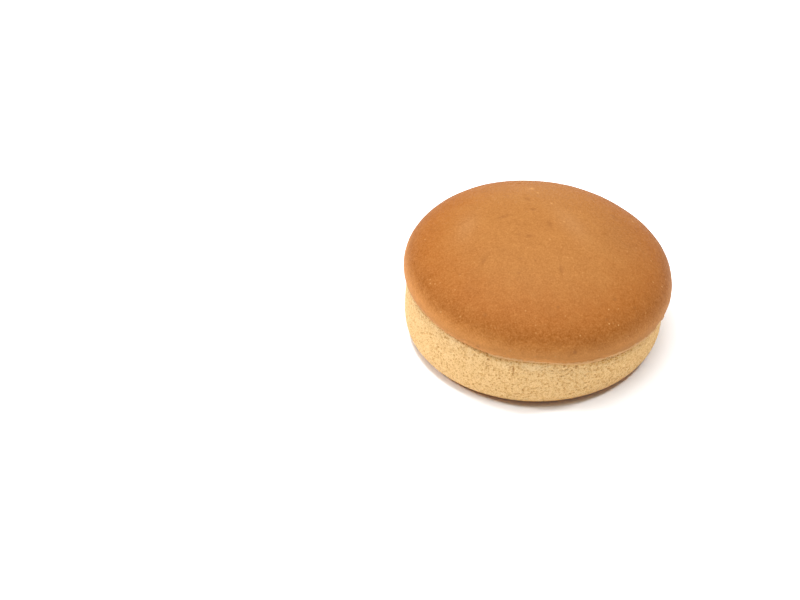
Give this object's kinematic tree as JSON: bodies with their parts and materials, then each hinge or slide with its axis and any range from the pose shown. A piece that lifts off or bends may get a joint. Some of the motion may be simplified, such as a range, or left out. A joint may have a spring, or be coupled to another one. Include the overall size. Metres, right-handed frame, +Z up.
{
  "type": "hamburger bun",
  "caption": "Plain round hamburger bun, a smooth browned domed crown resting on a pale porous heel, parted by one slightly oblique slice.",
  "frame": {"origin": "centre of the heel's flat base", "axes": "+Z up out of the base, +X towards the side where the slice is lowest, -Y towards the side that the picture shows"},
  "size_m": [0.1077, 0.108, 0.0492],
  "materials": {
    "crown_crust": "matt, smooth, evenly browned crust with fine pale specks",
    "heel_side": "matt, pale tan, finely porous crust"
  },
  "bodies": {
    "root": {"bun_crown": "crown_crust", "bun_heel": "heel_side"}
  },
  "joints": []
}
